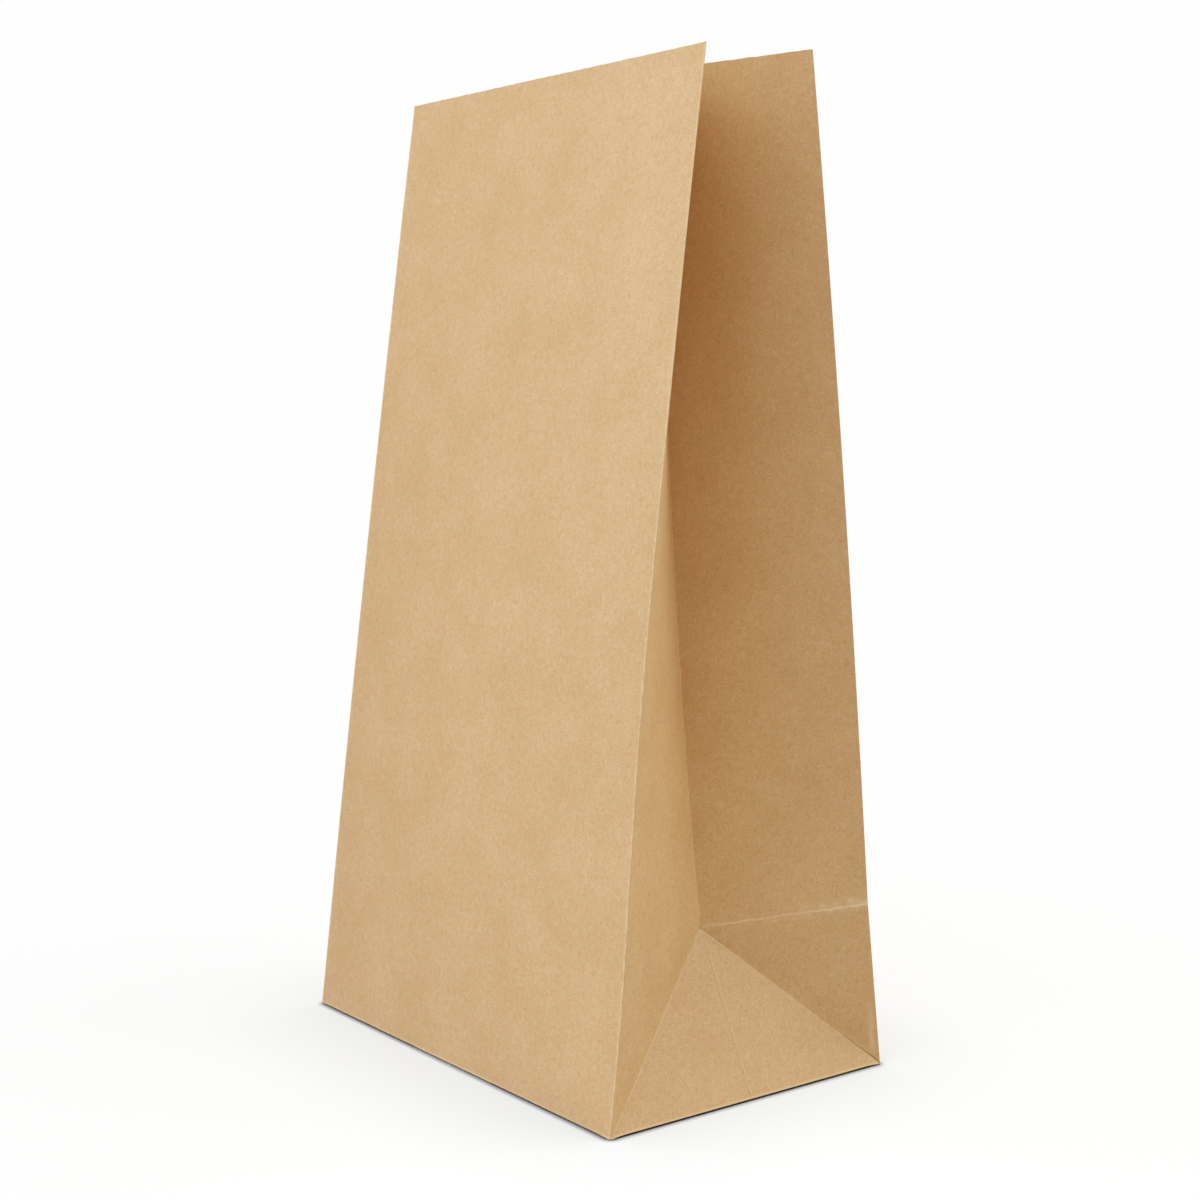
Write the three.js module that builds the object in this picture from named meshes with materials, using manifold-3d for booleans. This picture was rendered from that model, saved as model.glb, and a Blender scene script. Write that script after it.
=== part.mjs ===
// A brown paper lunch bag: one sheet of kraft paper, glued into a tube with a folded gusset on
// each side, its bottom folded flat and glued. It stands open on its base, with the front and
// back panels leaning towards each other and the gussets drawn in towards the mouth.
// Millimetres, +Z up. The origin is at the middle of the base, and the front panel faces -Y.
import * as THREE from 'three';
import { mergeVertices } from 'three/addons/utils/BufferGeometryUtils.js';
import Module from 'manifold-3d';

// The sheet
const panelWidth = 127;
const gussetWidth = 81;
const sheetHeight = 237;
const paper = 0.12;

// Glued overlaps: the long seam up the back panel, and the two bottom flaps
const seamWidth = 13;
const seamSide = -4;
const seamEase = 3;
const bottomOverlap = 12;
const layerPitch = 0.1;

// The open mouth: its gap at each side, and how far its back edge stands behind the middle
const mouthGapRight = 30.4;
const mouthGapLeft = 24.8;
const mouthBack = 18.5;
const creaseSag = 1.1;
const creaseSlack = 0.988;

// How each side edge bends: degrees added to its mean lean, at shares of the sheet's height
const creaseHeight = gussetWidth / 2;
const creaseShare = creaseHeight / sheetHeight;
const frontRightBends = [[0, 1.34], [0.2, -2.3], [0.55, 0.48], [1, 1.38]];
const frontLeftBends = [[0, -0.65], [1, 0.65]];
const backBends = [[0, 0.69], [creaseShare, 0.69], [creaseShare, -1.3], [1, 1.02]];

// How finely the sheet is divided
const rowsBelowCrease = 4;
const rowsAboveCrease = 16;
const panelColumns = 4;
const gussetColumns = 4;
const baseColumns = 2;
const edgeSteps = 240;

const { degToRad, lerp } = THREE.MathUtils;
const point = (x, y, z) => new THREE.Vector3(x, y, z);
const between = (from, to, share) => from.clone().lerp(to, share);

function bendAt(bends, share) {
  for (let i = 1; i < bends.length; i += 1) {
    const [start, first] = bends[i - 1];
    const [end, last] = bends[i];
    if (share < end) return lerp(first, last, (share - start) / (end - start));
  }
  return bends[bends.length - 1][1];
}

// A side edge keeps its length in the sheet, so it climbs in short steps, each with its own lean.
// It returns the point at a distance up the sheet.
function sideEdge(foot, mouthY, bends) {
  const way = Math.sign(mouthY - foot.y);
  const meanLean = Math.asin(Math.abs(mouthY - foot.y) / sheetHeight);
  const step = sheetHeight / edgeSteps;
  const points = [foot.clone()];
  for (let i = 0; i < edgeSteps; i += 1) {
    const lean = meanLean + degToRad(bendAt(bends, (i + 0.5) / edgeSteps));
    const climb = point(0, way * Math.sin(lean), Math.cos(lean)).multiplyScalar(step);
    points.push(points[i].clone().add(climb));
  }
  return (up) => {
    const place = up / step;
    const below = Math.min(Math.floor(place), edgeSteps - 1);
    return between(points[below], points[below + 1], place - below);
  };
}

function corner(xSide, ySide) {
  return point(xSide * panelWidth / 2, ySide * gussetWidth / 2, 0);
}

// The gusset's middle crease starts at the peak, where the two 45 degree folds meet. The base
// triangle leans in until the front edge, the peak and the sheet between them keep their lengths.
function gusset(xSide, front, back) {
  const frontLean = Math.asin((front(creaseHeight).y - front(0).y) / creaseHeight);
  const baseLean = Math.acos(Math.tan(Math.PI / 4 - frontLean / 2));
  const peak = point(
    xSide * (panelWidth / 2 - creaseHeight * Math.sin(baseLean)),
    0,
    creaseHeight * Math.cos(baseLean),
  );
  const middle = (up) => between(front(up), back(up), 0.5);
  const startSag = middle(creaseHeight).z - peak.z;
  const deepest = (up, sag) => {
    const halfGap = front(up).distanceTo(back(up)) / 2;
    return Math.sqrt(creaseHeight ** 2 - halfGap ** 2 - sag ** 2);
  };
  const startDepth = Math.abs(middle(creaseHeight).x - peak.x);
  const startSlack = startDepth / deepest(creaseHeight, startSag);
  const crease = (up) => {
    const share = (up - creaseHeight) / (sheetHeight - creaseHeight);
    const sag = lerp(startSag, creaseSag, share);
    const depth = deepest(up, sag) * lerp(startSlack, creaseSlack, share);
    const place = middle(up);
    place.x -= xSide * depth;
    place.y -= middle(creaseHeight).y * (1 - share);
    place.z -= sag;
    return place;
  };
  return { peak, crease, front, back };
}

// Points along one side of the bag at a height, from its front edge to its back edge. Below the
// crease they cross the base triangle, and above it that triangle has shrunk to the crease.
function gussetRow({ peak, crease, front, back }, up) {
  const rising = Math.min(up / creaseHeight, 1);
  const onFrontFold = up < creaseHeight ? between(front(0), peak, rising) : crease(up);
  const onBackFold = up < creaseHeight ? between(back(0), peak, rising) : crease(up);
  const row = [];
  const run = (from, to, count) => {
    for (let i = 0; i < count; i += 1) row.push(between(from, to, i / count));
  };
  run(front(up), onFrontFold, gussetColumns);
  run(onFrontFold, onBackFold, baseColumns);
  run(onBackFold, back(up), gussetColumns);
  row.push(back(up));
  return row;
}

// The back panel's columns from right to left: a place across the panel, and how far the paper
// stands out there. The seam's outer layer ends in a step on the left and eases out on the right.
function backColumns() {
  const seamLeft = seamSide - seamWidth / 2;
  const seamRight = seamSide + seamWidth / 2;
  const easeEnd = seamRight + seamEase;
  const columns = [];
  const run = (from, to) => {
    for (let i = 0; i <= panelColumns / 2; i += 1) {
      columns.push({ across: lerp(from, to, i / (panelColumns / 2)), raised: 0 });
    }
  };
  run(panelWidth / 2, easeEnd);
  columns.push({ across: seamRight, raised: paper }, { across: seamLeft, raised: paper });
  run(seamLeft, -panelWidth / 2);
  return columns;
}

const frontLeft = sideEdge(corner(-1, -1), mouthBack - mouthGapLeft, frontLeftBends);
const frontRight = sideEdge(corner(1, -1), mouthBack - mouthGapRight, frontRightBends);
const backLeft = sideEdge(corner(-1, 1), mouthBack, backBends);
const backRight = sideEdge(corner(1, 1), mouthBack, backBends);
const rightGusset = gusset(1, frontRight, backRight);
const leftGusset = gusset(-1, frontLeft, backLeft);

// Each row goes once round the bag, anticlockwise from above, and starts at the front left edge.
function rowsOfSheet() {
  const heights = [];
  for (let i = 0; i < rowsBelowCrease; i += 1) heights.push(creaseHeight * i / rowsBelowCrease);
  for (let i = 0; i <= rowsAboveCrease; i += 1) {
    heights.push(lerp(creaseHeight, sheetHeight, i / rowsAboveCrease));
  }
  return heights.map((up) => {
    const row = [];
    const flat = (places) => places.forEach((place) => row.push({ place, raised: 0 }));
    for (let i = 0; i < panelColumns; i += 1) {
      flat([between(frontLeft(up), frontRight(up), i / panelColumns)]);
    }
    flat(gussetRow(rightGusset, up).slice(0, -1));
    backColumns().forEach(({ across, raised }) => {
      const share = across / panelWidth + 0.5;
      row.push({ place: between(backLeft(up), backRight(up), share), raised });
    });
    flat(gussetRow(leftGusset, up).reverse().slice(1, -1));
    return row;
  });
}

// The step from the sheet's outer face to its inner one at a point, one paper thickness from
// every facet that meets there. At the foot the step stays level, so that the base is flat.
function inwardStep(facets, isFoot) {
  const solve = new THREE.Matrix3().set(0, 0, 0, 0, 0, 0, 0, 0, 0);
  const sum = solve.elements;
  const wanted = point(0, 0, 0);
  const flatness = 1e-3;
  facets.forEach((n) => {
    const axes = [n.x, n.y, n.z];
    axes.forEach((a, i) => axes.forEach((b, j) => { sum[3 * i + j] += a * b; }));
    wanted.addScaledVector(n, paper);
  });
  [0, 4, 8].forEach((i) => { sum[i] += flatness * facets.length; });
  if (isFoot) {
    [2, 5, 6, 7].forEach((i) => { sum[i] = 0; });
    sum[8] = 1;
    wanted.z = 0;
  }
  return wanted.applyMatrix3(solve.invert()).negate();
}

// The walls as one closed shell: the outer face, the inner face, the cut mouth and the foot.
function wallGeometry() {
  const rows = rowsOfSheet();
  const columns = rows[0].length;
  const keyOf = ({ x, y, z }) => [x, y, z].map((v) => v.toFixed(4)).join();
  const joints = new Map();
  const jointAt = ({ place }) => {
    const key = keyOf(place);
    if (!joints.has(key)) joints.set(key, { place, facets: [], isFoot: place.z === 0 });
    return joints.get(key);
  };
  const cells = [];
  for (let i = 0; i + 1 < rows.length; i += 1) {
    for (let j = 0; j < columns; j += 1) {
      const next = (j + 1) % columns;
      const [a, b, c, d] = [rows[i][j], rows[i][next], rows[i + 1][next], rows[i + 1][j]];
      cells.push([a, b, c], [a, c, d]);
    }
  }
  cells.forEach((cell) => {
    const corners = cell.map(jointAt);
    if (new Set(corners).size < 3) return;
    const normal = new THREE.Triangle(...corners.map(({ place }) => place)).getNormal(point());
    corners.forEach(({ facets }) => facets.push(normal));
  });
  joints.forEach((joint) => {
    joint.inner = joint.place.clone().add(inwardStep(joint.facets, joint.isFoot));
  });
  const outer = (p) => p.place.clone().add(point(0, p.raised, 0));
  const inner = (p) => jointAt(p).inner;
  const positions = [];
  const face = (...corners) => {
    if (new Set(corners.map(keyOf)).size === 3) {
      corners.forEach((p) => positions.push(p.x, p.y, p.z));
    }
  };
  cells.forEach(([a, b, c]) => {
    face(outer(a), outer(b), outer(c));
    face(inner(a), inner(c), inner(b));
  });
  const mouth = rows[rows.length - 1];
  for (let j = 0; j < columns; j += 1) {
    const next = (j + 1) % columns;
    face(outer(mouth[j]), outer(mouth[next]), inner(mouth[next]));
    face(outer(mouth[j]), inner(mouth[next]), inner(mouth[j]));
    face(outer(rows[0][next]), outer(rows[0][j]), inner(rows[0][j]));
    face(outer(rows[0][next]), inner(rows[0][j]), inner(rows[0][next]));
  }
  const geometry = new THREE.BufferGeometry();
  geometry.setAttribute('position', new THREE.Float32BufferAttribute(positions, 3));
  return geometry;
}

// A flat layer of the folded bottom, from its outline as [x, y] corners
function layerGeometry(outline, layer, thickness = paper) {
  const shape = new THREE.Shape(outline.map(([x, y]) => new THREE.Vector2(x, y)));
  const geometry = new THREE.ExtrudeGeometry(shape, { depth: thickness, bevelEnabled: false });
  return geometry.translate(0, 0, layer * layerPitch);
}

// The folded bottom, from the lowest layer up: the back flap, the front flap, the corners that
// fold in with them, and the two side flaps that show inside the bag. Each layer ends inside the
// leaning walls. The back corners are two layers thick, because they pass beside the front flap.
function bottomLayers() {
  const [backFlap, frontFlap, foldedCorner, sideFlap] = [0, 1, 2, 3];
  const flapLength = creaseHeight + bottomOverlap / 2;
  const slopeOf = ({ x, y, z }, foot) => Math.hypot(x - foot.x, y - foot.y) / z;
  const baseSlope = Math.max(...[rightGusset, leftGusset].map(
    ({ peak }) => Math.abs(Math.abs(peak.x) - panelWidth / 2) / peak.z,
  ));
  const panelSlope = Math.max(...[frontLeft, frontRight, backLeft, backRight].map(
    (edge) => slopeOf(edge(creaseHeight), edge(0)),
  ));
  const inset = (layer, slope) => (layer * layerPitch + paper) * slope + paper / 2;
  const halfWidth = (layer) => panelWidth / 2 - inset(layer, baseSlope);
  const halfDepth = (layer) => gussetWidth / 2 - inset(layer, panelSlope);
  const trapezoid = (ySide, layer) => {
    const [w, y] = [halfWidth(layer), ySide * halfDepth(layer)];
    const reach = flapLength - inset(layer, panelSlope);
    const far = y - ySide * reach;
    return [[-w, y], [w, y], [w - reach, far], [reach - w, far]];
  };
  const cornerFold = (xSide, ySide) => {
    const [w, y] = [halfWidth(foldedCorner), ySide * halfDepth(foldedCorner)];
    const reach = flapLength - inset(foldedCorner, baseSlope);
    return [[xSide * w, y], [xSide * (w - reach), y], [xSide * (w - reach), y - ySide * reach]];
  };
  const sideStrip = (xSide) => {
    const [near, y] = [xSide * halfWidth(sideFlap), halfDepth(sideFlap)];
    const far = xSide * (panelWidth / 2 - flapLength);
    return [[near, -y], [near, y], [far, y], [far, -y]];
  };
  const layers = [
    layerGeometry(trapezoid(1, backFlap), backFlap),
    layerGeometry(trapezoid(-1, frontFlap), frontFlap),
  ];
  [-1, 1].forEach((xSide) => {
    layers.push(layerGeometry(cornerFold(xSide, 1), frontFlap, paper + layerPitch));
    layers.push(layerGeometry(cornerFold(xSide, -1), foldedCorner));
    layers.push(layerGeometry(sideStrip(xSide), sideFlap));
  });
  return layers;
}

const wasm = await Module();
wasm.setup();

function solidOf(geometry) {
  const bare = geometry.clone();
  bare.deleteAttribute('normal');
  bare.deleteAttribute('uv');
  const merged = mergeVertices(bare);
  return new wasm.Manifold(new wasm.Mesh({
    numProp: 3,
    vertProperties: new Float32Array(merged.attributes.position.array),
    triVerts: new Uint32Array(merged.index.array),
  }));
}

function geometryOf(solid) {
  const mesh = solid.getMesh();
  const geometry = new THREE.BufferGeometry();
  geometry.setAttribute('position', new THREE.BufferAttribute(mesh.vertProperties, 3));
  geometry.setIndex(new THREE.BufferAttribute(mesh.triVerts, 1));
  geometry.computeVertexNormals();
  return geometry;
}

let sheet = solidOf(wallGeometry());
bottomLayers().forEach((layer) => { sheet = sheet.add(solidOf(layer)); });

const kraft = new THREE.MeshStandardMaterial({ color: 0xc9a473, roughness: 0.85, metalness: 0 });
const bag = new THREE.Mesh(geometryOf(sheet), kraft);
bag.name = 'paper_bag';

const group = new THREE.Group();
group.add(bag);
export default group;
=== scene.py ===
# A brown paper lunch bag of plain kraft, standing open on a white studio floor.
import math

import bmesh
import bpy
from mathutils import Matrix, Vector, noise


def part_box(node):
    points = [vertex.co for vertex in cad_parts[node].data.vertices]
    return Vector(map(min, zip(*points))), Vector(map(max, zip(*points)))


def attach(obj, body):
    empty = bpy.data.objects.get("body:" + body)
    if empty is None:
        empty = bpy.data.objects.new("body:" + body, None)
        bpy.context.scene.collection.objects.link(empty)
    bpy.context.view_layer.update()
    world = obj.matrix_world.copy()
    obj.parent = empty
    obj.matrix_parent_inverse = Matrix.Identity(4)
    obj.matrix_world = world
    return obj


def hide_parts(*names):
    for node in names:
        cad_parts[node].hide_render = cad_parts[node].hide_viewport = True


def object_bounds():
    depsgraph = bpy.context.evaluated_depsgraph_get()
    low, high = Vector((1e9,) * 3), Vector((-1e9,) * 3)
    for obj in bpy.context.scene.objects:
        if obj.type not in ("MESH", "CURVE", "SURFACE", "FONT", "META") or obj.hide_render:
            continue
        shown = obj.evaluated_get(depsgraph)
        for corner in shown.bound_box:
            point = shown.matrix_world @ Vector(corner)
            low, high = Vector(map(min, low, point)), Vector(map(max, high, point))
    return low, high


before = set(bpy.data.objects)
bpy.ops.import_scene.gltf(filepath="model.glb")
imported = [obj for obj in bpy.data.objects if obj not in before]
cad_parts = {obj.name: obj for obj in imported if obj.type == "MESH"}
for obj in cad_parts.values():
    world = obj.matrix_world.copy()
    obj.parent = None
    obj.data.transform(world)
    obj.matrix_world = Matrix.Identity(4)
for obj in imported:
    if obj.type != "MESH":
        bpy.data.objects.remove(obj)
cad_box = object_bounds()
scene = bpy.context.scene
scene.view_settings.view_transform = "Standard"
MM = 0.001


# Camera. It stands to the front right of the bag, a little above the middle of its height, and
# it is tilted very slightly to its left.
camera_azimuth = math.radians(53.42)
camera_elevation = math.radians(6.51)
camera_roll = math.radians(-0.60)
camera_distance = 535.2 * MM
aim_right = 3.2 * MM
aim_up = 108.8 * MM
focal_length_px = 2124.9
image_px = 1200
sensor_mm = 36.0

backward = Vector((
    math.sin(camera_azimuth) * math.cos(camera_elevation),
    -math.cos(camera_azimuth) * math.cos(camera_elevation),
    math.sin(camera_elevation),
))
level_right = Vector((math.cos(camera_azimuth), math.sin(camera_azimuth), 0))
level_up = backward.cross(level_right)
right = math.cos(camera_roll) * level_right + math.sin(camera_roll) * level_up
up = math.cos(camera_roll) * level_up - math.sin(camera_roll) * level_right
lens = bpy.data.cameras.new("camera")
lens.sensor_width = sensor_mm
lens.lens = sensor_mm * focal_length_px / image_px
camera = bpy.data.objects.new("camera", lens)
camera.matrix_world = Matrix.Translation(
    aim_right * right + aim_up * up + camera_distance * backward
) @ Matrix((right, up, backward)).transposed().to_4x4()
scene.collection.objects.link(camera)
scene.camera = camera


# Studio. A white floor and a white surround, with a large soft lamp low on the left, one high on
# the right behind the bag, and a weaker one high in front. The floor and the surround are white to
# the camera alone, so that they add no light of their own to the bag.
ambient_color = (0.30, 0.15, 0.04, 1)
surround_color = (0.99, 0.99, 0.99, 1)
lamps = [
    {
        "name": "left_lamp", "azimuth": -45, "elevation": 20, "distance": 2.6, "size": 2.0,
        "power": 39.6, "color": (0.73, 0.85, 1.0),
    },
    {
        "name": "back_right_lamp", "azimuth": 140, "elevation": 50, "distance": 1.3, "size": 1.0,
        "power": 12.1, "color": (0.86, 1.0, 1.0),
    },
    {
        "name": "front_lamp", "azimuth": 15, "elevation": 50, "distance": 1.3, "size": 1.0,
        "power": 8.0, "color": (0.70, 0.91, 1.0),
    },
]

world = bpy.data.worlds.new("studio")
world.use_nodes = True
scene.world = world
nodes, links = world.node_tree.nodes, world.node_tree.links
light_path = nodes.new("ShaderNodeLightPath")
surround = nodes.new("ShaderNodeMix")
surround.data_type = "RGBA"
surround.inputs[6].default_value = ambient_color
surround.inputs[7].default_value = surround_color
links.new(light_path.outputs["Is Camera Ray"], surround.inputs[0])
links.new(surround.outputs[2], nodes["Background"].inputs["Color"])

for lamp in lamps:
    light = bpy.data.lights.new(lamp["name"], "AREA")
    light.shape = "DISK"
    light.size = lamp["size"]
    light.energy = lamp["power"]
    light.color = lamp["color"]
    turn, rise = math.radians(lamp["azimuth"]), math.radians(lamp["elevation"])
    away = Vector((
        math.sin(turn) * math.cos(rise), -math.cos(turn) * math.cos(rise), math.sin(rise)
    ))
    lamp_object = bpy.data.objects.new(lamp["name"], light)
    lamp_object.location = Vector((0, 0, cad_box[1][2] / 2)) + lamp["distance"] * away
    lamp_object.rotation_euler = away.to_track_quat("Z", "Y").to_euler()
    scene.collection.objects.link(lamp_object)

# The floor. To the camera it glows white, with painted shadow near the bag: a thin dark line where the
# bag touches it, and a soft painted shade around that. Farther off it fades to the white of the
# surround.
floor_reach = 3.0
floor_drop = 0.02 * MM
floor_color = (0.80, 0.80, 0.80, 1)
floor_glow = 0.90
shadow_color = (0.10, 0.10, 0.10, 1)
contact_reach = 2.0 * MM
contact_dark, contact_clear = 0.6, 0.95
shade_reach = 45 * MM
shade_depth = 0.33
fade_start, fade_end = 110 * MM, 300 * MM
far_glow = 0.99

bm = bmesh.new()
bmesh.ops.create_grid(bm, x_segments=1, y_segments=1, size=floor_reach)
bmesh.ops.translate(bm, verts=bm.verts, vec=(0, 0, -floor_drop))
floor_mesh = bpy.data.meshes.new("floor")
bm.to_mesh(floor_mesh)
bm.free()
floor = bpy.data.objects.new("floor", floor_mesh)
scene.collection.objects.link(floor)


def calculate(tree, operation, *values):
    node = tree.nodes.new("ShaderNodeMath")
    node.operation = operation
    for socket, value in zip(node.inputs, values):
        if isinstance(value, bpy.types.NodeSocket):
            tree.links.new(value, socket)
        else:
            socket.default_value = value
    return node.outputs["Value"]


def map_value(tree, value, low_in, high_in, low_out=0.0, high_out=1.0, smooth=False):
    node = tree.nodes.new("ShaderNodeMapRange")
    node.interpolation_type = "SMOOTHSTEP" if smooth else "LINEAR"
    for name, setting in (
        ("Value", value),
        ("From Min", low_in),
        ("From Max", high_in),
        ("To Min", low_out),
        ("To Max", high_out),
    ):
        if isinstance(setting, bpy.types.NodeSocket):
            tree.links.new(setting, node.inputs[name])
        else:
            node.inputs[name].default_value = setting
    return node.outputs["Result"]


white_paint = bpy.data.materials.new("white_paint")
white_paint.use_nodes = True
tree = white_paint.node_tree
nodes, links = tree.nodes, tree.links
nodes.remove(nodes["Principled BSDF"])


def openness(reach):
    """How open a point is to its surroundings: 1 where nothing stands within reach of it."""
    node = nodes.new("ShaderNodeAmbientOcclusion")
    node.samples = 4
    node.inputs["Distance"].default_value = reach
    return node.outputs["AO"]


paint = nodes.new("ShaderNodeBsdfDiffuse")
paint.inputs["Color"].default_value = floor_color
shaded = nodes.new("ShaderNodeBsdfDiffuse")
shaded.inputs["Color"].default_value = shadow_color
# Painted shadow: the floor's glow is dimmed where the bag closes it in, darkest where they touch.
painted_contact_shadow = map_value(tree, openness(contact_reach), contact_dark, contact_clear)
painted_soft_shadow = map_value(
    tree, openness(shade_reach), 0.0, 1.0, floor_glow * (1 - shade_depth), floor_glow
)
glow = nodes.new("ShaderNodeEmission")
links.new(calculate(tree, "MULTIPLY", painted_contact_shadow, painted_soft_shadow), glow.inputs["Strength"])
close_by = nodes.new("ShaderNodeAddShader")
links.new(shaded.outputs["BSDF"], close_by.inputs[0])
links.new(glow.outputs["Emission"], close_by.inputs[1])
far_off = nodes.new("ShaderNodeEmission")
far_off.inputs["Strength"].default_value = far_glow
place = nodes.new("ShaderNodeTexCoord")
from_bag = nodes.new("ShaderNodeVectorMath")
from_bag.operation = "LENGTH"
links.new(place.outputs["Object"], from_bag.inputs[0])
faded = nodes.new("ShaderNodeMixShader")
links.new(
    map_value(tree, from_bag.outputs["Value"], fade_start, fade_end, smooth=True), faded.inputs[0]
)
links.new(close_by.outputs["Shader"], faded.inputs[1])
links.new(far_off.outputs["Emission"], faded.inputs[2])
light_path = nodes.new("ShaderNodeLightPath")
floor_shader = nodes.new("ShaderNodeMixShader")
links.new(light_path.outputs["Is Camera Ray"], floor_shader.inputs[0])
links.new(paint.outputs["BSDF"], floor_shader.inputs[1])
links.new(faded.outputs["Shader"], floor_shader.inputs[2])
links.new(floor_shader.outputs["Shader"], nodes["Material Output"].inputs["Surface"])
floor_mesh.materials.append(white_paint)


# The bag. One sheet of brown kraft paper: it is glued into a tube with a lap up the back panel,
# creased into two gussets, and its bottom is folded flat and glued. It starts here as the flat
# blank, which is creased, folded along the creases and given its thickness.
low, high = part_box("paper_bag")
panel = high.x - low.x
gusset = -2 * low.y
half_gusset = gusset / 2
sheet_height = 237 * MM
paper = 0.12 * MM

# The lap of the seam up the back panel. The outer layer climbs over the inner one's edge, and its
# own free edge is pressed down.
seam_left, seam_right = -10.5 * MM, 2.5 * MM
seam_ease = 4 * MM
lap_height = 1.1 * paper
seam_press_width = 2 * MM
seam_press_depth = 0.55 * paper

# The flaps of the folded bottom, which lie in layers, and the feet of the panels, which stand on
# the flaps that are folded under them.
flap_length = half_gusset + 6 * MM
layer_pitch = 0.13 * MM
top_layer = 3 * layer_pitch
tuck_layer = 2.95 * layer_pitch
layer_ramp = 3 * MM
foot_ramp = 3 * MM
foot_curl = 6 * MM

# The open mouth, the gussets' middle creases, and how each side edge bends: degrees added to its
# mean lean, at shares of the sheet's height.
peak_lift = 0.5 * MM
mouth_gap_right = 30.4 * MM
mouth_gap_left = 24.8 * MM
mouth_back = 18.5 * MM
crease_sag = 1.1 * MM
crease_slack = 0.988
crease_share = half_gusset / sheet_height
front_right_bends = [(0, 1.34), (0.2, -2.3), (0.55, 0.48), (1, 1.38)]
front_left_bends = [(0, -0.65), (1, 0.65)]
back_bends = [(0, 0.69), (crease_share, 0.69), (crease_share, -1.3), (1, 1.02)]
edge_steps = 474


def bend_at(bends, share):
    for (start, first), (end, last) in zip(bends, bends[1:]):
        if share < end:
            return first + (last - first) * (share - start) / (end - start)
    return bends[-1][1]


def side_edge(foot, mouth_y, bends):
    """The way up one side edge of a panel, which keeps its length in the sheet as it leans."""
    way = math.copysign(1, mouth_y - foot.y)
    mean_lean = math.asin(abs(mouth_y - foot.y) / sheet_height)
    step = sheet_height / edge_steps
    places = [foot]
    for i in range(edge_steps):
        lean = mean_lean + math.radians(bend_at(bends, (i + 0.5) / edge_steps))
        places.append(places[-1] + step * Vector((0, way * math.sin(lean), math.cos(lean))))

    def at(height):
        below = min(int(height / step), edge_steps - 1)
        return places[below].lerp(places[below + 1], height / step - below)

    return at


def corner(x_side, y_side):
    return Vector((x_side * panel / 2, y_side * half_gusset, 0))


front_left = side_edge(corner(-1, -1), mouth_back - mouth_gap_left, front_left_bends)
front_right = side_edge(corner(1, -1), mouth_back - mouth_gap_right, front_right_bends)
back_left = side_edge(corner(-1, 1), mouth_back, back_bends)
back_right = side_edge(corner(1, 1), mouth_back, back_bends)


def gusset_crease(x_side, front, back):
    """The peak of the base triangle, and the way up the gusset's middle crease from it."""
    front_lean = math.asin((front(half_gusset).y - front(0).y) / half_gusset)
    base_lean = math.acos(math.tan(math.pi / 4 - front_lean / 2))
    peak_x = panel / 2 - half_gusset * math.sin(base_lean)
    peak = Vector((x_side * peak_x, 0, half_gusset * math.cos(base_lean) + peak_lift))

    def middle(height):
        return front(height).lerp(back(height), 0.5)

    def deepest(height, sag):
        half_gap = (front(height) - back(height)).length / 2
        return math.sqrt(half_gusset**2 - half_gap**2 - sag**2)

    start_sag = middle(half_gusset).z - peak.z
    start_slack = abs(middle(half_gusset).x - peak.x) / deepest(half_gusset, start_sag)

    def at(height):
        share = (height - half_gusset) / (sheet_height - half_gusset)
        sag = start_sag + (crease_sag - start_sag) * share
        depth = deepest(height, sag) * (start_slack + (crease_slack - start_slack) * share)
        shift = Vector((-x_side * depth, -middle(half_gusset).y * (1 - share), -sag))
        return middle(height) + shift

    return peak, at


peaks = {
    1: gusset_crease(1, front_right, back_right),
    -1: gusset_crease(-1, front_left, back_left),
}


def fold_gusset(x_side, across, height):
    """Where a point of a gusset lies, from its distance to the gusset's front edge and its height
    in the sheet."""
    front, back = (front_right, back_right) if x_side > 0 else (front_left, back_left)
    peak, crease = peaks[x_side]
    from_middle = abs(across - half_gusset)
    if height < half_gusset - from_middle:
        foot = front(0).lerp(back(0), across / gusset)
        return foot + (peak - front(0).lerp(back(0), 0.5)) * height / half_gusset
    edge = front if across < half_gusset else back
    if height > half_gusset:
        return crease(height).lerp(edge(height), from_middle / half_gusset)
    on_fold = edge(0).lerp(peak, height / half_gusset)
    return edge(height).lerp(on_fold, (half_gusset - from_middle) / max(height, 1e-9))


def ease(share):
    share = min(max(share, 0), 1)
    return share * share * (3 - 2 * share)


def lap_rise(x):
    """How far a flap is raised where it lies over the lap of the seam."""
    return lap_height * ease((x - seam_left + seam_ease) / seam_ease) * ease(
        (seam_right + seam_ease - x) / seam_ease
    )


def foot_rise(section, across):
    """How far the foot of a panel is held off the floor by the flaps that are folded under it."""
    if section.endswith("gusset"):
        return top_layer * ease(min(across, gusset - across) / foot_ramp)
    if section == "front":
        return layer_pitch * ease(min(across, panel - across) / foot_ramp)
    return 0


def fold_bottom(section, across, depth):
    """A point of the bottom flaps, which lie flat in layers: the back flap is lowest, and the side
    flaps are highest and show inside the bag."""
    settle = ease(depth / layer_ramp)
    if section.endswith("gusset"):
        x_side = 1 if section == "right_gusset" else -1
        rise = foot_rise(section, across)
        z = rise + (top_layer - rise) * settle
        return Vector((x_side * (panel / 2 - depth), across - half_gusset, z))
    from_corner = min(across, panel - across)
    x = across - panel / 2
    if section == "back_outer":
        x = -x
    y_side = -1 if section == "front" else 1
    if depth > from_corner + 1e-6:
        x = math.copysign(panel / 2 - depth, x)
        return Vector((x, y_side * (half_gusset - from_corner), tuck_layer * settle))
    z = 0
    if section == "front":
        z = layer_pitch + lap_rise(x)
    if section == "back_inner":
        z = lap_height * ease((x - seam_left + seam_ease) / seam_ease)
    rise = foot_rise(section, across)
    return Vector((x, y_side * (half_gusset - depth), rise + (z - rise) * settle))


def stations(*stretches):
    places = [stretches[0][0]]
    for start, end, count in stretches:
        places += [start + (end - start) * (i + 1) / count for i in range(count)]
    return places


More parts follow.
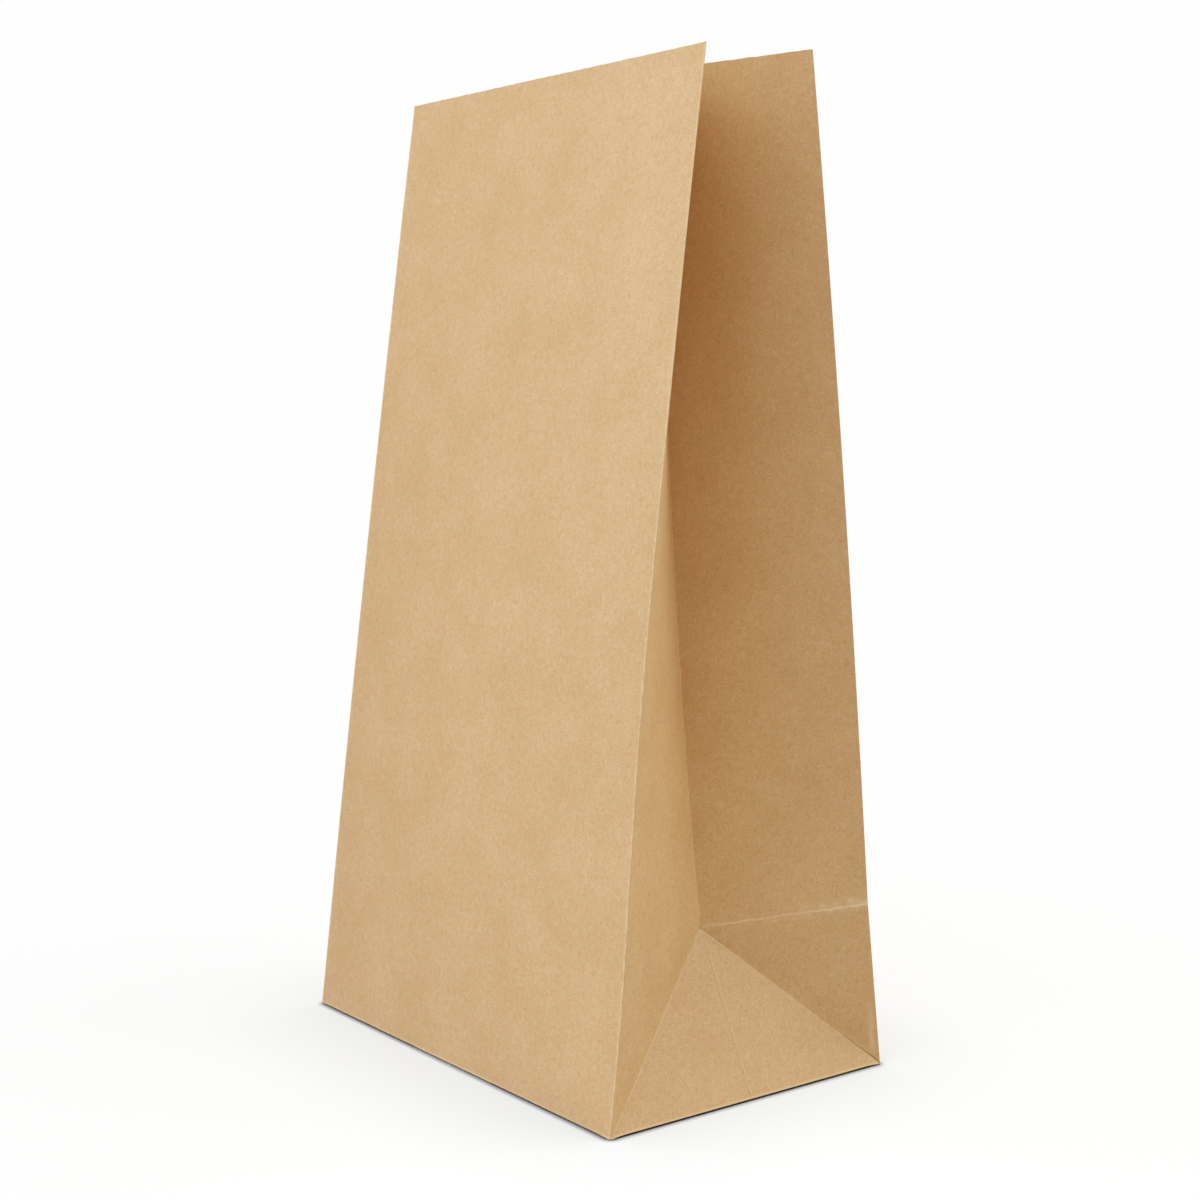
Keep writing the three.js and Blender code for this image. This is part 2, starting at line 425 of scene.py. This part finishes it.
# The flat blank. Its cells are square beside each corner and in the gussets, so that every
# slanting crease runs from vertex to vertex.
corner_cells = 23
gusset_cells = 20
front_cells = 16
back_inner_cells = 8
back_outer_cells = 4
seam_ease_cells = 4
lap_cells = 6
wall_cells = 80
back_right_width = panel / 2 - seam_right
columns = [("back_inner", across) for across in reversed(stations(
    (0, flap_length, corner_cells),
    (flap_length, panel / 2 + seam_right, back_inner_cells),
))]
columns += [("left_gusset", gusset - across) for across in stations(
    (0, gusset, 2 * gusset_cells),
)[1:]]
columns += [("front", across) for across in stations(
    (0, flap_length, corner_cells),
    (flap_length, panel - flap_length, front_cells),
    (panel - flap_length, panel, corner_cells),
)[1:]]
columns += [("right_gusset", across) for across in stations(
    (0, gusset, 2 * gusset_cells),
)[1:]]
columns += [("back_outer", across) for across in stations(
    (0, flap_length, corner_cells),
    (flap_length, back_right_width - seam_ease, back_outer_cells),
    (back_right_width - seam_ease, back_right_width, seam_ease_cells),
    (back_right_width, panel / 2 - seam_left, lap_cells),
)[1:]]
rows = stations(
    (-flap_length, 0, corner_cells),
    (0, half_gusset, gusset_cells),
    (half_gusset, sheet_height, wall_cells),
)


def fold(section, across, height):
    """Where a point of the blank lies on the finished bag, on the outer side of the paper."""
    if height < 0:
        return fold_bottom(section, across, -height)
    rise = Vector((0, 0, foot_rise(section, across) * (1 - ease(height / foot_curl))))
    if section.endswith("gusset"):
        return rise + fold_gusset(1 if section == "right_gusset" else -1, across, height)
    if section == "front":
        return rise + front_left(height).lerp(front_right(height), across / panel)
    if section == "back_inner":
        return back_left(height).lerp(back_right(height), across / panel)
    place = back_right(height).lerp(back_left(height), across / panel)
    lift = lap_height * ease((seam_right + seam_ease - place.x) / seam_ease)
    pressed = seam_press_depth * ease(1 - (place.x - seam_left) / seam_press_width)
    return place + Vector((0, (lift - pressed) * ease(height / layer_ramp), 0))


# Where the four side edges lie along the blank, from the free edge of the seam's inner layer.
left_back = panel / 2 + seam_right
left_front = left_back + gusset
right_front = left_front + panel
right_back = right_front + gusset


def blank_across(index):
    """How far a column lies along the blank."""
    starts = {
        "back_inner": left_back,
        "left_gusset": left_front,
        "front": left_front,
        "right_gusset": right_front,
        "back_outer": right_back,
    }
    section, across = columns[index]
    if section in ("back_inner", "left_gusset"):
        return starts[section] - across
    return starts[section] + across


# The blank starts as its cut bottom edge, which is extruded row by row.
bm = bmesh.new()
blank_map = bm.loops.layers.uv.new("blank")
grid = [[bm.verts.new((blank_across(i), rows[0], 0)) for i in range(len(columns))]]
row_edges = [bm.edges.new(pair) for pair in zip(grid[0], grid[0][1:])]
for low_row, high_row in zip(rows, rows[1:]):
    made = bmesh.ops.extrude_edge_only(bm, edges=row_edges)["geom"]
    row_verts = [item for item in made if isinstance(item, bmesh.types.BMVert)]
    bmesh.ops.translate(bm, verts=row_verts, vec=(0, high_row - low_row, 0))
    grid.append(sorted(row_verts, key=lambda v: v.co.x))
    on_row = set(row_verts)
    row_edges = [
        item for item in made
        if isinstance(item, bmesh.types.BMEdge) and on_row.issuperset(item.verts)
    ]
bmesh.ops.recalc_face_normals(bm, faces=bm.faces)
if bm.faces[:][0].normal.z < 0:
    bmesh.ops.reverse_faces(bm, faces=bm.faces)
for face in bm.faces:
    for loop in face.loops:
        loop[blank_map].uv = loop.vert.co.xy

# The creases. The slanting ones are cut into the blank first, and then each crease is marked with
# how far it is rounded, in millimetres.
crease_roundness = {"corner": 0.35, "middle": 0.30, "slant": 0.30, "foot": 0.20}


def column_at(across):
    return min(range(len(columns)), key=lambda i: abs(blank_across(i) - across))


corner_columns = [column_at(u) for u in (left_back, left_front, right_front, right_back)]
middle_columns = [column_at(left_back + half_gusset), column_at(right_front + half_gusset)]
foot_row = corner_cells
peak_row = corner_cells + gusset_cells
slants = []
for middle in middle_columns:
    for side in (-1, 1):
        slants.append([
            grid[foot_row + i][middle + side * (gusset_cells - i)] for i in range(gusset_cells + 1)
        ])
tucks = []
for column, side in zip(corner_columns, (-1, 1, -1, 1)):
    tucks.append([grid[foot_row - i][column + side * i] for i in range(corner_cells + 1)])
for line in slants + tucks:
    bmesh.ops.connect_verts(bm, verts=line)
crease_lines = [("slant", line) for line in slants]
crease_lines += [("foot", grid[foot_row])]
crease_lines += [("corner", [row[i] for row in grid[foot_row:]]) for i in corner_columns]
crease_lines += [("middle", [row[i] for row in grid[peak_row:]]) for i in middle_columns]
roundness = bm.edges.layers.float.new("bevel_weight_edge")
for kind, line in crease_lines:
    for pair in zip(line, line[1:]):
        bm.edges.get(pair)[roundness] = crease_roundness[kind]

# The sheet is folded up, with the slight waver of its cut mouth, and each panel then gets the
# unevenness of handled paper, which dies out towards the creases.
cut_waver = 0.14 * MM
cut_waver_scale = 350
cut_waver_seed = 5.1
undulation = 0.10 * MM
undulation_scale_across, undulation_scale_up = 26, 15.6
undulation_seed = 2.7
undulation_margin = 12 * MM

for row, height in zip(grid, rows):
    for i, vert in enumerate(row):
        waver = 0.5 + noise.noise(Vector((blank_across(i) * cut_waver_scale, 0, cut_waver_seed)))
        cut = cut_waver * waver if row is grid[-1] else 0
        vert.co = fold(*columns[i], height - cut)
bm.normal_update()
for row, height in zip(grid, rows):
    for i, vert in enumerate(row):
        if height <= 0:
            continue
        along = blank_across(i)
        slant_reach = max(half_gusset - height, 0)
        from_crease = min(
            [height]
            + [abs(along - blank_across(k)) for k in corner_columns]
            + [abs(abs(along - blank_across(k)) - slant_reach) for k in middle_columns]
        )
        wave = noise.noise(Vector((
            along * undulation_scale_across, height * undulation_scale_up, undulation_seed
        )))
        vert.co += vert.normal * undulation * wave * ease(from_crease / undulation_margin)
for face in bm.faces:
    face.smooth = True
bag_mesh = bpy.data.meshes.new("kraft_bag")
bm.to_mesh(bag_mesh)
bm.free()
bag = bpy.data.objects.new("kraft_bag", bag_mesh)
scene.collection.objects.link(bag)
rounding = bag.modifiers.new("rounding", "BEVEL")
rounding.affect = "EDGES"
rounding.limit_method = "WEIGHT"
rounding.width = MM
rounding.segments = 3
rounding.profile = 0.5
rounding.material = -1
thickness = bag.modifiers.new("thickness", "SOLIDIFY")
thickness.thickness = paper
thickness.offset = -1
shading = bag.modifiers.new("shading", "WEIGHTED_NORMAL")
shading.mode = "FACE_AREA"
shading.weight = 80
shading.keep_sharp = True
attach(bag, "root")
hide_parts("paper_bag")


# Node groups for the paper. Each works in millimetres on the flat blank, so its lines and fibres
# run on across the folds as they do on a sheet that was creased after it was made.
def new_group(name, inputs, outputs):
    group = bpy.data.node_groups.new(name, "ShaderNodeTree")
    for socket_name, kind in inputs:
        group.interface.new_socket(socket_name, in_out="INPUT", socket_type="NodeSocket" + kind)
    for socket_name in outputs:
        group.interface.new_socket(socket_name, in_out="OUTPUT", socket_type="NodeSocketFloat")
    return group, group.nodes.new("NodeGroupInput"), group.nodes.new("NodeGroupOutput")


def make_noise(tree, vector, scale, detail, roughness=0.5):
    node = tree.nodes.new("ShaderNodeTexNoise")
    node.noise_dimensions = "2D"
    tree.links.new(vector, node.inputs["Vector"])
    node.inputs["Scale"].default_value = scale
    node.inputs["Detail"].default_value = detail
    node.inputs["Roughness"].default_value = roughness
    return node


def blend_color(tree, share, first, second, mode="MIX"):
    node = tree.nodes.new("ShaderNodeMix")
    node.data_type = "RGBA"
    node.blend_type = mode
    for socket, value in zip((node.inputs[0], node.inputs[6], node.inputs[7]), (share, first, second)):
        if isinstance(value, bpy.types.NodeSocket):
            tree.links.new(value, socket)
        else:
            socket.default_value = value
    return node.outputs[2]


# Fibres: short hairs that lie every way, pale ones over dark ones, with finer grain between them.
# Each set is a stretched noise, and all are bent a little by a coarser one.
fibre_turns = (75, 165, 110, 30)
fibre_length, fibre_width = 2.1, 0.30
fibre_bend = (1.3, 1.3, 0)
layer_shift = Vector((31, 17, 5))
pale_range, dark_range = (0.53, 0.80), (0.47, 0.20)
grain_range = (0.25, 0.75)

fibres, group_in, group_out = new_group("paper_fibres", [("Blank", "Vector")], ("Fibres", "Grain"))
bend = make_noise(fibres, group_in.outputs["Blank"], 0.30, 0)
centred = fibres.nodes.new("ShaderNodeVectorMath")
centred.operation = "SUBTRACT"
centred.inputs[1].default_value = (0.5, 0.5, 0.5)
fibres.links.new(bend.outputs["Color"], centred.inputs[0])
bent = fibres.nodes.new("ShaderNodeVectorMath")
bent.operation = "MULTIPLY_ADD"
bent.inputs[1].default_value = fibre_bend
fibres.links.new(centred.outputs[0], bent.inputs[0])
fibres.links.new(group_in.outputs["Blank"], bent.inputs[2])
layers = []
for i, turn in enumerate(fibre_turns):
    mapping = fibres.nodes.new("ShaderNodeMapping")
    mapping.vector_type = "TEXTURE"
    mapping.inputs["Location"].default_value = i * layer_shift
    mapping.inputs["Rotation"].default_value = (0, 0, math.radians(turn))
    mapping.inputs["Scale"].default_value = (fibre_length, fibre_width, 1)
    fibres.links.new(bent.outputs[0], mapping.inputs["Vector"])
    layers.append(make_noise(fibres, mapping.outputs["Vector"], 1.0, 0).outputs[0])
pale_hairs = map_value(fibres, calculate(fibres, "MAXIMUM", *layers[:2]), *pale_range)
dark_hairs = map_value(fibres, calculate(fibres, "MINIMUM", *layers[2:]), *dark_range)
strokes = calculate(fibres, "SUBTRACT", pale_hairs, dark_hairs)
fibres.links.new(map_value(fibres, strokes, -1.0, 1.0), group_out.inputs["Fibres"])
fine = make_noise(fibres, group_in.outputs["Blank"], 3.0, 1, 0.6)
fibres.links.new(map_value(fibres, fine.outputs[0], *grain_range), group_out.inputs["Grain"])

# Clouds: the uneven formation of the sheet, paler and darker, pinker and yellower in soft patches,
# with the odd dark speck and pale fleck, and the waver and the patches of the lines along its creases.
clouds, group_in, group_out = new_group(
    "paper_clouds", [("Blank", "Vector")], ("Tone", "Hue", "Waver", "Patchy", "Specks", "Flecks")
)
for name, scale, detail, roughness in (("Tone", 0.06, 4, 0.72), ("Hue", 0.14, 2, 0.5)):
    patches = make_noise(clouds, group_in.outputs["Blank"], scale, detail, roughness)
    clouds.links.new(map_value(clouds, patches.outputs[0], 0.3, 0.7), group_out.inputs[name])
waver = make_noise(clouds, group_in.outputs["Blank"], 0.45, 1)
clouds.links.new(waver.outputs[0], group_out.inputs["Waver"])
waver_parts = clouds.nodes.new("ShaderNodeSeparateColor")
clouds.links.new(waver.outputs["Color"], waver_parts.inputs[0])
clouds.links.new(map_value(clouds, waver_parts.outputs[1], 0.35, 0.65), group_out.inputs["Patchy"])
for name, scale, radius, share in (("Specks", 0.17, 0.055, 0.45), ("Flecks", 0.23, 0.075, 0.4)):
    cells = clouds.nodes.new("ShaderNodeTexVoronoi")
    cells.voronoi_dimensions = "2D"
    cells.inputs["Scale"].default_value = scale
    clouds.links.new(group_in.outputs["Blank"], cells.inputs["Vector"])
    near = map_value(clouds, cells.outputs["Distance"], radius, radius * 0.3)
    split = clouds.nodes.new("ShaderNodeSeparateColor")
    clouds.links.new(cells.outputs["Color"], split.inputs[0])
    chosen = calculate(clouds, "LESS_THAN", split.outputs[0], share)
    clouds.links.new(calculate(clouds, "MULTIPLY", near, chosen), group_out.inputs[name])

# Creases: how far each point of the blank is from each kind of crease, in millimetres. Slant is
# more than 0 above a slanting crease, Depth more than 0 inside a gusset, and Back more than 0 on
# the back half of a gusset.
crease_map, group_in, group_out = new_group(
    "crease_distances", [("Blank", "Vector")],
    ("Corner", "Middle", "Slant", "Cross", "Foot", "Back", "Height", "Centre", "Depth"),
)
far_away = 100.0
axes = crease_map.nodes.new("ShaderNodeSeparateXYZ")
crease_map.links.new(group_in.outputs["Blank"], axes.inputs[0])
along, height = axes.outputs[0], axes.outputs[1]
middles = [(left_back + half_gusset) / MM, (right_front + half_gusset) / MM]
half = half_gusset / MM
from_left = calculate(crease_map, "SUBTRACT", middles[0], along)
from_right = calculate(crease_map, "SUBTRACT", along, middles[1])
from_middle = calculate(
    crease_map, "MINIMUM",
    calculate(crease_map, "ABSOLUTE", from_left),
    calculate(crease_map, "ABSOLUTE", from_right),
)
corner_gap = calculate(crease_map, "SUBTRACT", from_middle, half)
crease_map.links.new(calculate(crease_map, "ABSOLUTE", corner_gap), group_out.inputs["Corner"])
crease_map.links.new(calculate(crease_map, "MULTIPLY", corner_gap, -1.0), group_out.inputs["Depth"])
above = calculate(crease_map, "GREATER_THAN", height, half)
below = calculate(crease_map, "SUBTRACT", 1.0, above)
outside = calculate(crease_map, "MULTIPLY", below, far_away)
crease_map.links.new(calculate(crease_map, "ADD", from_middle, outside), group_out.inputs["Middle"])
up_and_in = calculate(crease_map, "ADD", corner_gap, height)
slanting = calculate(crease_map, "DIVIDE", up_and_in, math.sqrt(2))
on_panel = calculate(crease_map, "GREATER_THAN", corner_gap, 0.0)
beyond = calculate(crease_map, "MULTIPLY", on_panel, far_away)
crease_map.links.new(calculate(crease_map, "ADD", slanting, beyond), group_out.inputs["Slant"])
crease_map.links.new(calculate(crease_map, "SUBTRACT", height, half), group_out.inputs["Cross"])
crease_map.links.new(calculate(crease_map, "ABSOLUTE", height), group_out.inputs["Foot"])
crease_map.links.new(height, group_out.inputs["Height"])
crease_map.links.new(
    calculate(crease_map, "MAXIMUM", from_left, from_right), group_out.inputs["Back"]
)
right_half = calculate(crease_map, "GREATER_THAN", along, (left_front + right_front) / 2 / MM)
centre = crease_map.nodes.new("ShaderNodeMix")
crease_map.links.new(right_half, centre.inputs[0])
crease_map.links.new(from_left, centre.inputs[2])
crease_map.links.new(from_right, centre.inputs[3])
crease_map.links.new(centre.outputs[0], group_out.inputs["Centre"])

# Line along a crease, for wear where the surface fibres have broken and for painted highlight and
# painted shade. It wanders a little about the crease, and it is stronger in some places than in
# others.
wear_and_painted_light_line, group_in, group_out = new_group(
    "wear_and_painted_light_line",
    [
        (name, "Float")
        for name in ("Distance", "Waver", "Patchy", "Width", "Wander", "Patches", "Strength")
    ],
    ("Mask",),
)
centred = calculate(wear_and_painted_light_line, "SUBTRACT", group_in.outputs["Waver"], 0.5)
sideways = calculate(wear_and_painted_light_line, "MULTIPLY", centred, group_in.outputs["Wander"])
wandered = calculate(wear_and_painted_light_line, "ADD", group_in.outputs["Distance"], sideways)
gap = calculate(wear_and_painted_light_line, "ABSOLUTE", wandered)
line = map_value(wear_and_painted_light_line, gap, group_in.outputs["Width"], 0.0, smooth=True)
missing = calculate(wear_and_painted_light_line, "SUBTRACT", 1.0, group_in.outputs["Patchy"])
left_out = calculate(wear_and_painted_light_line, "MULTIPLY", missing, group_in.outputs["Patches"])
kept = calculate(wear_and_painted_light_line, "SUBTRACT", 1.0, left_out)
full = calculate(wear_and_painted_light_line, "MULTIPLY", line, kept)
mask = calculate(wear_and_painted_light_line, "MULTIPLY", full, group_in.outputs["Strength"])
wear_and_painted_light_line.links.new(mask, group_out.inputs["Mask"])


# Kraft paper. Warm tan, matt and fibrous, with pale broken fibres along its creases, and painted
# light, painted highlight and painted shade in places.
paper_color = (0.683, 0.457, 0.245, 1)
untinted = (1, 1, 1, 1)
crease_blur = 0.6
edge_blur = 0.3

kraft = bpy.data.materials.new("kraft_paper")
kraft.use_nodes = True
tree = kraft.node_tree
nodes, links = tree.nodes, tree.links
surface = nodes["Principled BSDF"]
blank = nodes.new("ShaderNodeUVMap")
blank.uv_map = "blank"
in_mm = nodes.new("ShaderNodeVectorMath")
in_mm.operation = "SCALE"
in_mm.inputs["Scale"].default_value = 1 / MM
links.new(blank.outputs["UV"], in_mm.inputs[0])


def use_group(group, **values):
    node = nodes.new("ShaderNodeGroup")
    node.node_tree = group
    for name, value in values.items():
        if isinstance(value, bpy.types.NodeSocket):
            links.new(value, node.inputs[name])
        else:
            node.inputs[name].default_value = value
    return node.outputs


def within(*masks):
    product = masks[0]
    for mask in masks[1:]:
        product = calculate(tree, "MULTIPLY", product, mask)
    return product


def between(name, start, full, end, gone):
    """A mask that rises from start to full and falls from end to gone, in millimetres."""
    return within(
        map_value(tree, distances[name], start, full), map_value(tree, distances[name], gone, end)
    )


hairs = use_group(fibres, Blank=in_mm.outputs[0])
cloud = use_group(clouds, Blank=in_mm.outputs[0])
distances = use_group(crease_map, Blank=in_mm.outputs[0])

# Painted light in the gussets: a warm tint, redder deep inside and less so low down, is painted
# bounce light, and the base triangle is painted a little bluer and paler, most of all at its top.
above_slant = map_value(tree, distances["Slant"], 0.0, crease_blur)
painted_bounce_gusset = map_value(tree, distances["Depth"], 0.0, edge_blur)
painted_bounce_deep = within(
    map_value(tree, distances["Depth"], 0.0, half_gusset / MM),
    above_slant,
    map_value(tree, distances["Height"], 38.0, 80.0, 0.35, 1.0),
)
painted_light_base_triangle = within(
    map_value(tree, distances["Slant"], 0.0, -crease_blur),
    map_value(tree, distances["Height"], -0.5, 0.0),
)
painted_light_near_peak = within(painted_light_base_triangle, map_value(tree, distances["Height"], 16.0, 36.0))

# Painted light on the front panel: it is painted browner towards its left edge as painted shade, and
# paler towards its top right as painted light.
blank_place = nodes.new("ShaderNodeSeparateXYZ")
links.new(in_mm.outputs[0], blank_place.inputs[0])
blank_along, blank_height = blank_place.outputs[0], blank_place.outputs[1]
front_start, front_end = left_front / MM, right_front / MM
painted_left_shade = within(
    map_value(tree, blank_along, front_start - edge_blur, front_start),
    map_value(tree, blank_along, front_start + 55, front_start + 4),
    map_value(tree, blank_height, 0.0, 60.0, 0.1, 1.0),
    map_value(tree, blank_height, 215.0, 130.0, 0.3, 1.0),
)
painted_top_right_light = within(
    map_value(tree, blank_along, front_end + edge_blur, front_end),
    map_value(tree, blank_along, front_start + 62, front_start + 108),
    map_value(tree, blank_height, 100.0, 185.0),
)

# The paper's colour is multiplied by each tint in turn: the first of a row where its mask is 0,
# and the second where it is 1. Specks and flecks lie over that.
tints = [
    # Painted shade and painted light on the front panel.
    (painted_left_shade, untinted, (0.945, 0.925, 0.90, 1)),
    (painted_top_right_light, untinted, (1.04, 1.055, 1.09, 1)),
    # Painted bounce light in the gussets, and painted light on the base triangle.
    (painted_bounce_deep, untinted, (1.0, 0.955, 0.84, 1)),
    (painted_bounce_gusset, untinted, (1.0, 0.99, 0.965, 1)),
    (painted_light_base_triangle, untinted, (0.99, 1.005, 1.10, 1)),
    (painted_light_near_peak, untinted, (1.05, 1.08, 1.11, 1)),
    (hairs["Fibres"], (0.952, 0.875, 0.79, 1), (1.048, 1.125, 1.21, 1)),
    (hairs["Grain"], (0.952, 0.936, 0.950, 1), (1.048, 1.064, 1.050, 1)),
    (cloud["Tone"], (0.970, 0.952, 0.924, 1), (1.030, 1.048, 1.076, 1)),
    (cloud["Hue"], (1.005, 0.994, 1.0, 1), (0.995, 1.006, 0.992, 1)),
]
color = paper_color
for mask, first_tint, second_tint in tints:
    tint = blend_color(tree, mask, first_tint, second_tint)
    color = blend_color(tree, 1.0, color, tint, "MULTIPLY")
for mask, strength, speck_color in (
    (cloud["Specks"], 0.30, (0.36, 0.20, 0.09, 1)),
    (cloud["Flecks"], 0.25, (0.80, 0.64, 0.43, 1)),
):
    color = blend_color(tree, within(mask, strength), color, speck_color)


# Wear, painted highlight and painted shade along the creases. A line lies at an offset from a crease,
# in millimetres, wanders about it, and is missing in patches.
def line_mask(name, offset, width, wander, missing, strength):
    distance = distances[name]
    if offset:
        distance = calculate(tree, "ADD", distance, offset)
    return use_group(
        wear_and_painted_light_line, Distance=distance, Waver=cloud["Waver"], Patchy=cloud["Patchy"],
        Width=width, Wander=wander, Patches=missing, Strength=strength,
    )["Mask"]


def spot_mask(across, along, radius, strength):
    squares = [calculate(tree, "POWER", value, 2.0) for value in (across, along)]
    gap = calculate(tree, "SQRT", calculate(tree, "ADD", *squares))
    return map_value(tree, gap, radius, radius * 0.3, 0.0, strength)


on_back = map_value(tree, distances["Back"], 0.0, crease_blur)
near_back_edge = between("Back", 20.0, 38.0, 42.0, 60.0)
near_peak = between("Back", 0.0, 0.8, 5.0, 9.0)
near_foot_corner = between("Back", 28.0, 33.0, 40.0, 42.0)
near_tip = between("Back", 31.0, 39.0, 40.4, 41.0)
up_triangle = between("Height", -0.5, 0.5, 37.0, 40.0)
under_cross = within(between("Height", 34.0, 36.0, 40.0, 40.4), above_slant)
low_on_edge = between("Height", 2.0, 3.5, 8.0, 18.0)
beside_peak = within(
    between("Back", 0.4, 1.0, 5.0, 5.3), between("Height", 35.0, 35.4, 40.0, 40.4), above_slant
)
slant_strength = map_value(tree, distances["Back"], -1.0, 1.0, 0.66, 0.40)
speck_place = calculate(tree, "ADD", distances["Centre"], 13.8)

# Pale lines: the side edges and the foot, partly worn fibres and partly painted highlight, the middle
# creases, the slanting creases, then the crease across the back half with its side lines, painted
# highlight beside the line up the base triangle, a second line along the slant by the back foot
# corner, a short one under the crossing crease, a strip low on the back edge, and a speck on the
# slant.
pale_wear_and_highlight_lines = [
    # Partly worn fibres and partly painted highlight along the rounded side edges.
    line_mask("Depth", offset=0.35, width=0.75, wander=0.8, missing=0.7, strength=0.75),
    line_mask("Middle", offset=0.0, width=0.45, wander=0.3, missing=0.4, strength=0.30),
    line_mask("Slant", offset=0.18, width=0.36, wander=0.3, missing=0.4, strength=slant_strength),
    # Partly worn fibres and partly painted highlight along the rounded foot.
    line_mask("Foot", offset=-0.35, width=0.55, wander=0.2, missing=0.2, strength=0.80),
]
for name, offset, width, wander, missing, place, strength in (
    ("Cross", 0.0, 0.48, 0.5, 0.3, on_back, 0.90),
    ("Cross", 0.85, 0.35, 1.2, 1.0, on_back, 0.50),
    ("Cross", -0.3, 3.0, 2.0, 0.6, near_back_edge, 0.75),
    ("Cross", 0.25, 0.55, 0.5, 0.2, near_back_edge, 1.00),
    ("Cross", -0.2, 0.8, 0.4, 0.3, near_peak, 0.45),
    # Painted highlight on the lit side of the groove up the base triangle.
    ("Centre", -0.38, 0.36, 0.8, 0.8, up_triangle, 0.55),
    ("Slant", -0.6, 0.34, 0.5, 0.5, near_foot_corner, 0.55),
    ("Back", -5.4, 0.25, 0.3, 0.3, under_cross, 0.35),
    ("Back", -38.8, 1.3, 1.2, 0.5, low_on_edge, 0.75),
):
    pale_wear_and_highlight_lines.append(line_mask(name, offset, width, wander, missing, within(place, strength)))
pale_wear_and_highlight_lines.append(spot_mask(speck_place, distances["Slant"], 0.55, 0.60))

# Bare lines: the palest fibres, where the crease across the back half meets the back edge.
bare_lines = [
    line_mask("Cross", 0.25, 0.40, 0.5, 0.5, within(near_back_edge, 0.85)),
    line_mask("Cross", -1.1, 0.30, 1.6, 1.0, within(near_back_edge, 0.45)),
]

# Dark lines: painted shade in the line up the base triangle and along its back slant near the peak and
# the foot corner, faint painted shade beside the peak, and spots of painted shade at the peak and the
# foot corners.
painted_shade_lines = [
    line_mask("Centre", 0.0, 0.30, 0.8, 0.9, within(up_triangle, 0.34)),
    line_mask("Slant", -0.10, 0.26, 0.2, 0.2, within(near_peak, 0.40)),
    line_mask("Slant", 0.80, 0.26, 0.5, 0.5, within(near_peak, 0.40)),
    line_mask("Slant", -0.18, 0.42, 0.3, 0.2, within(near_tip, 0.85)),
    within(beside_peak, 0.05),
    spot_mask(distances["Centre"], distances["Cross"], 0.80, 0.42),
    spot_mask(distances["Corner"], distances["Foot"], 0.60, 0.80),
]
for masks, line_color in (
    (pale_wear_and_highlight_lines, (0.80, 0.61, 0.38, 1)),
    (bare_lines, (0.86, 0.73, 0.55, 1)),
    # The colour of the painted shade.
    (painted_shade_lines, (0.33, 0.19, 0.08, 1)),
):
    strongest = masks[0]
    for mask in masks[1:]:
        strongest = calculate(tree, "MAXIMUM", strongest, mask)
    color = blend_color(tree, strongest, color, line_color)
links.new(color, surface.inputs["Base Color"])
links.new(map_value(tree, hairs["Fibres"], 0.0, 1.0, 0.80, 0.92), surface.inputs["Roughness"])
surface.inputs["Specular IOR Level"].default_value = 0.25
relief = nodes.new("ShaderNodeBump")
relief.inputs["Strength"].default_value = 0.08
relief.inputs["Distance"].default_value = 0.03 * MM
links.new(hairs["Fibres"], relief.inputs["Height"])
links.new(relief.outputs["Normal"], surface.inputs["Normal"])
bag_mesh.materials.append(kraft)
